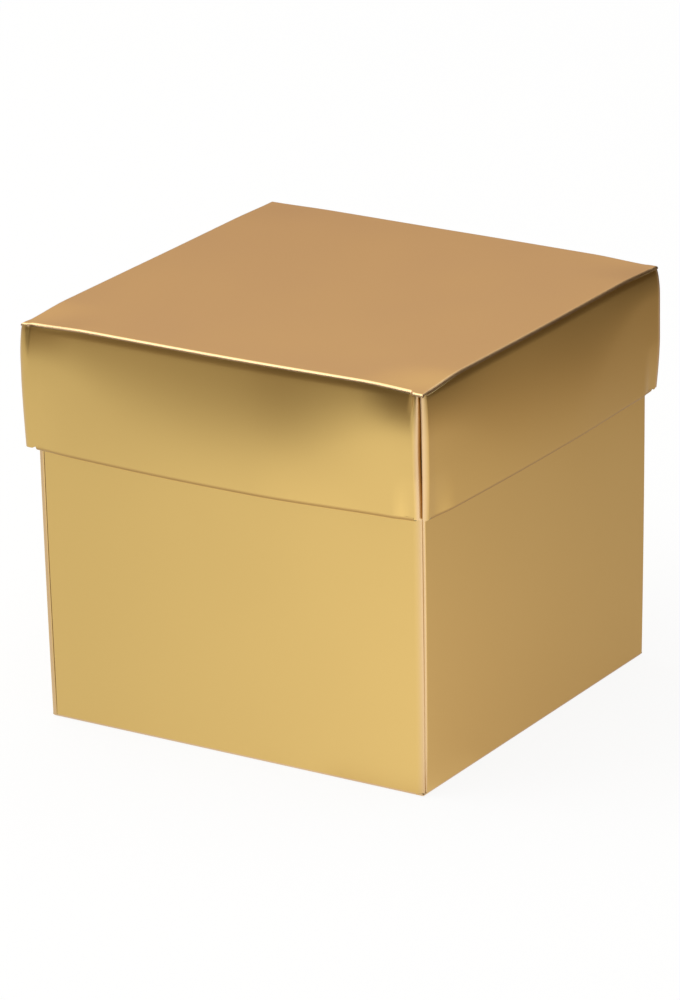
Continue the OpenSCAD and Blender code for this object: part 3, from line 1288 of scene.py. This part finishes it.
@dataclass(frozen=True)
class PaleCard:
    """One pale card of the ring: where it stands, and how it fades to its sides and with height."""

    azimuth: float
    width: float  # half its width, in degrees, beyond which nothing of it is left
    level: float  # brightness above that of the dark cards
    low: float  # elevations between which it fades in or out
    high: float
    rising: bool  # whether it is pale above those elevations, or else below them
    per_degree: float = 0.0
    full_share: float = 0.6  # share of its width that is fully lit

    def beside(self, azimuth: float) -> float:
        """How much of it is left at an azimuth, from 0 to 1."""
        away = abs((azimuth - self.azimuth + 180) % 360 - 180)
        return 1 - ramp(away, self.width * self.full_share, self.width)

    def glow(self, azimuth: float, elevation: float) -> float:
        """Brightness above that of the dark cards, in a direction.

        Args:
            azimuth: direction from the box.
            elevation: height above the horizon.

        Returns:
            The brightness.
        """
        rise = ramp(elevation, self.low, self.high)
        level = self.level + self.per_degree * elevation
        return level * (rise if self.rising else 1 - rise) * self.beside(azimuth)


@dataclass(frozen=True)
class CardRing:
    """Graduated cards that stand all round the box, out of the camera's sight, for the foil to mirror: they
    light nothing, and glow with a painted tone that only reflections see, a painted reflection.

    Azimuths run from the front towards the right and elevations from the lid's height up, both in degrees.
    """

    radius: float = 250.0
    foot: float = 3.0
    top: float = 250.0
    lid_z: float = 40.0  # height of the lid's skirts, from which the elevations are taken
    columns: int = 120
    rows: int = 24
    dark: float = 0.07
    pale: float = 0.8  # brightness from which a card is neutral in colour: below it, it is warmer
    warmth: tuple[float, float] = (0.4, 0.72)  # how much green and blue the darkest cards lack
    warm_curve: float = 1.5
    back_warmth: tuple[float, float] = (0.22, 0.26)
    back: PaleCard = PaleCard(
        azimuth=222, width=50, level=0.33, low=0, high=8, rising=True, per_degree=0.013)
    others: tuple[PaleCard, ...] = (
        PaleCard(azimuth=303, width=43, level=0.73, low=-14, high=8, rising=False),
        PaleCard(azimuth=272, width=60, level=0.93, low=8, high=24, rising=True),
        PaleCard(azimuth=72, width=46, level=1.08, low=6, high=26, rising=False),
    )

    def tone(self, azimuth: float, elevation: float) -> Colour:
        """Linear colour of the cards in a direction.

        Args:
            azimuth: direction from the box.
            elevation: height above the horizon as seen from the lid.

        Returns:
            Red, green, blue and 1.
        """
        level = self.dark + max(card.glow(azimuth, elevation) for card in (self.back, *self.others))
        warm = (1 - ramp(level, self.dark, self.pale)) ** self.warm_curve
        behind = self.back.beside(azimuth)
        green, blue = (1 - b * behind - w * warm for b, w in zip(self.back_warmth, self.warmth))
        return level, level * green, level * blue, 1.0

    def build(self) -> None:
        """Stands the cards round the box."""
        count = self.columns
        verts, tones = [], []
        for z in spread(self.foot, self.top, self.rows):
            elevation = math.degrees(math.atan2(z - self.lid_z, self.radius))
            for i in range(count):
                angle = 2 * math.pi * i / count
                x, y = self.radius * math.sin(angle), -self.radius * math.cos(angle)
                verts.append((x * MM, y * MM, z * MM))
                tones.extend(self.tone(math.degrees(angle), elevation))
        quads = []
        for start in range(0, self.rows * count, count):
            for i in range(count):
                after = (i + 1) % count
                quads.append((start + i, start + after, start + count + after, start + count + i))
        mesh = bpy.data.meshes.new("graduated_cards")
        mesh.from_pydata(verts, [], quads)
        tone = mesh.attributes.new("tone", "FLOAT_COLOR", "POINT")
        tone.data.foreach_set("color", np.array(tones, dtype=np.float32))
        material, tree, output = new_material("graduated grey card")
        painted_glow = add_node(tree, "ShaderNodeAttribute", {"attribute_name": "tone"})
        glow = add_node(tree, "ShaderNodeEmission", {}, Color=painted_glow.outputs["Color"])
        tree.links.new(glow.outputs[0], output.inputs[0])
        mesh.materials.append(material)
        cards = bpy.data.objects.new("graduated_cards", mesh)
        for kind in ("camera", "diffuse", "shadow", "transmission", "volume_scatter"):
            setattr(cards, f"visible_{kind}", False)
        bpy.context.scene.collection.objects.link(cards)


@dataclass(frozen=True)
class Softbox:
    """A square softbox that looks at the box."""

    name: str
    place: tuple[float, float, float]
    size: float
    watts: float

    def build(self) -> None:
        """Adds the light."""
        data = bpy.data.lights.new(self.name, "AREA")
        data.shape = "SQUARE"
        data.size = self.size * MM
        data.energy = self.watts
        lamp = bpy.data.objects.new(self.name, data)
        lamp.location = Vector(self.place) * MM
        lamp.rotation_euler = (-Vector(self.place)).to_track_quat("-Z", "Y").to_euler()
        bpy.context.scene.collection.objects.link(lamp)


@dataclass(frozen=True)
class Studio:
    """The paper, the cards, the soft light and the camera. Angles are in degrees."""

    azimuth: float = 32.12
    elevation: float = 19.56
    roll: float = -1.1
    distance: float = 667.5
    aim_z: float = 25.4
    focal_px: float = 5768.0
    image: tuple[int, int] = (680, 1000)
    centre_px: tuple[float, float] = (346.9, 480.7)  # where the camera's axis meets the picture
    sensor: float = 36.0
    sight_m: tuple[float, float] = (0.01, 20.0)
    fill: float = 0.55  # strength of the plain light all round
    softboxes: tuple[Softbox, ...] = (
        Softbox("softbox_top", (-200, -150, 1100), size=1600, watts=9.0),
        Softbox("softbox_left", (-900, -500, 700), size=1200, watts=5.0),
    )

    def camera(self) -> None:
        """Sets the camera at the photograph's viewing angle."""
        az, el = math.radians(self.azimuth), math.radians(self.elevation)
        back = Vector((math.cos(el) * math.sin(az), -math.cos(el) * math.cos(az), math.sin(el)))
        right = Vector((math.cos(az), math.sin(az), 0))
        up = back.cross(right)
        turn = math.radians(self.roll)
        right, up = right * math.cos(turn) + up * math.sin(turn), up * math.cos(turn) - right * math.sin(turn)
        width, height = self.image
        data = bpy.data.cameras.new("camera")
        data.sensor_fit = "VERTICAL"
        data.sensor_height = self.sensor
        data.lens = self.focal_px * self.sensor / height
        data.shift_x = (width / 2 - self.centre_px[0]) / height
        data.shift_y = (self.centre_px[1] - height / 2) / height
        data.clip_start, data.clip_end = self.sight_m
        camera = bpy.data.objects.new("camera", data)
        rotation = Matrix((right, up, back)).transposed().to_4x4()
        place = Vector((0, 0, self.aim_z)) + back * self.distance
        camera.matrix_world = Matrix.Translation(place * MM) @ rotation
        bpy.context.scene.collection.objects.link(camera)
        bpy.context.scene.camera = camera

    def world(self) -> None:
        """Surrounds the box with plain light, which shows as white."""
        world = bpy.data.worlds.new("studio")
        world.use_nodes = True
        tree = world.node_tree
        tree.nodes.clear()
        path = add_node(tree, "ShaderNodeLightPath")
        straight = add_node(
            tree, "ShaderNodeMath", {"operation": "MAXIMUM"},
            in0=path.outputs["Is Camera Ray"], in1=path.outputs["Is Glossy Ray"])
        seen = add_node(
            tree, "ShaderNodeMath", {"operation": "MAXIMUM"},
            in0=straight.outputs[0], in1=path.outputs["Is Transmission Ray"])
        dim = add_node(tree, "ShaderNodeBackground", {"Color": linear("#ffffff"), "Strength": self.fill})
        white = add_node(tree, "ShaderNodeBackground", {"Color": linear("#ffffff"), "Strength": 1.0})
        both = add_node(
            tree, "ShaderNodeMixShader", {}, in0=seen.outputs[0], in1=dim.outputs[0], in2=white.outputs[0])
        output = add_node(tree, "ShaderNodeOutputWorld", {}, Surface=both.outputs[0])
        output.is_active_output = True
        bpy.context.scene.world = world

    def build(self) -> None:
        """Sets up the whole studio."""
        self.camera()
        PaperSweep().build()
        CardRing().build()
        self.world()
        for softbox in self.softboxes:
            softbox.build()
        bpy.context.scene.view_settings.view_transform = "Standard"


def make_base(card: Card) -> Tray:
    """Gives the base the corners that the photograph shows, and plain ones where it shows none.

    Args:
        card: the card that it is folded from.

    Returns:
        The base.
    """
    plain = Corner(pinch=0.32, pinch_next=0.32, settle_h=47.0, fold_end=0.28, fold_mid=0.28)
    loose = replace(plain, fold_mid=0.3, nose=3.6, slit=0.08)
    flat = replace(plain, fold_end=0.27, fold_mid=0.27, nose=0.35, bend=0.4)
    return Tray(
        name="base", body="base", half=25.4, depth=48.0, bend_r=0.35, flap_depth=20.0, set_in=plain.pinch,
        rim_dip=0.32, card=card,
        corners={Side.FRONT: loose, Side.RIGHT: flat, Side.BACK: plain, Side.LEFT: flat})


def make_lid(card: Card) -> Lid:
    """Gives the lid the corners that the photograph shows, and a plain one where it shows none.

    Args:
        card: the card that it is folded from.

    Returns:
        The lid.
    """
    near = Corner(
        pinch=0.4, pinch_next=0.4, inset_next=0.2, settle_h=5.5, dent_next=0.42, droop=0.45, fold_end=0.31,
        fold_mid=0.36, nose=2.6, facet=0.75, slit=0.12, curl=0.3, curl_next=0.35, curl_h=5.0, nub=0.1)
    front_left = Corner(
        pinch=0.35, pinch_next=0.2, settle_h=4.5, dent=0.36, droop=0.35, fold_end=0.34, fold_mid=0.46,
        nose=2.0, curl=0.15, curl_next=0.3, curl_h=8.0, nub=0.15)
    back_right = Corner(
        pinch=0.35, pinch_next=0.25, settle_h=3.5, droop=0.25, fold_end=0.27, fold_mid=0.28, nose=0.35,
        tuck=0.15, bend=0.35, curl=0.3, curl_next=0.3, curl_h=6.0, nub=0.15)
    back_left = Corner(settle_h=4.5, droop=0.1, curl=0.2, curl_next=0.2, curl_h=6.0)
    return Lid(
        name="lid", body="lid", half=26.78, depth=15.4, bend_r=0.8, flap_depth=11.0, bow_front=1.099,
        bow_side=0.449, set_in=0.15, foot_in=0.08, card=card,
        corners={Side.RIGHT: near, Side.FRONT: front_left, Side.LEFT: back_left, Side.BACK: back_right})


def main() -> None:
    """Builds the base, the lid and the studio."""
    logging.basicConfig(level=logging.INFO, format="%(message)s")
    card = Card()
    finishes = [
        MetallisedFoil().material(),
        UncoatedCard().material(),
        # the cut edge is painted darker and browner than the white card: painted shade, for the shadow
        # between the layers where it sits
        UncoatedCard(name="cut edge of card", colour="#c9b88a", shade="#a89464", fibre_mm=0.12).material(),
    ]
    for tray in (make_base(card), make_lid(card)):
        made = tray.build(finishes)
        log.info("%s: %d pieces", tray.name, len(made))
    Studio().build()


if __name__ == "__main__":
    main()
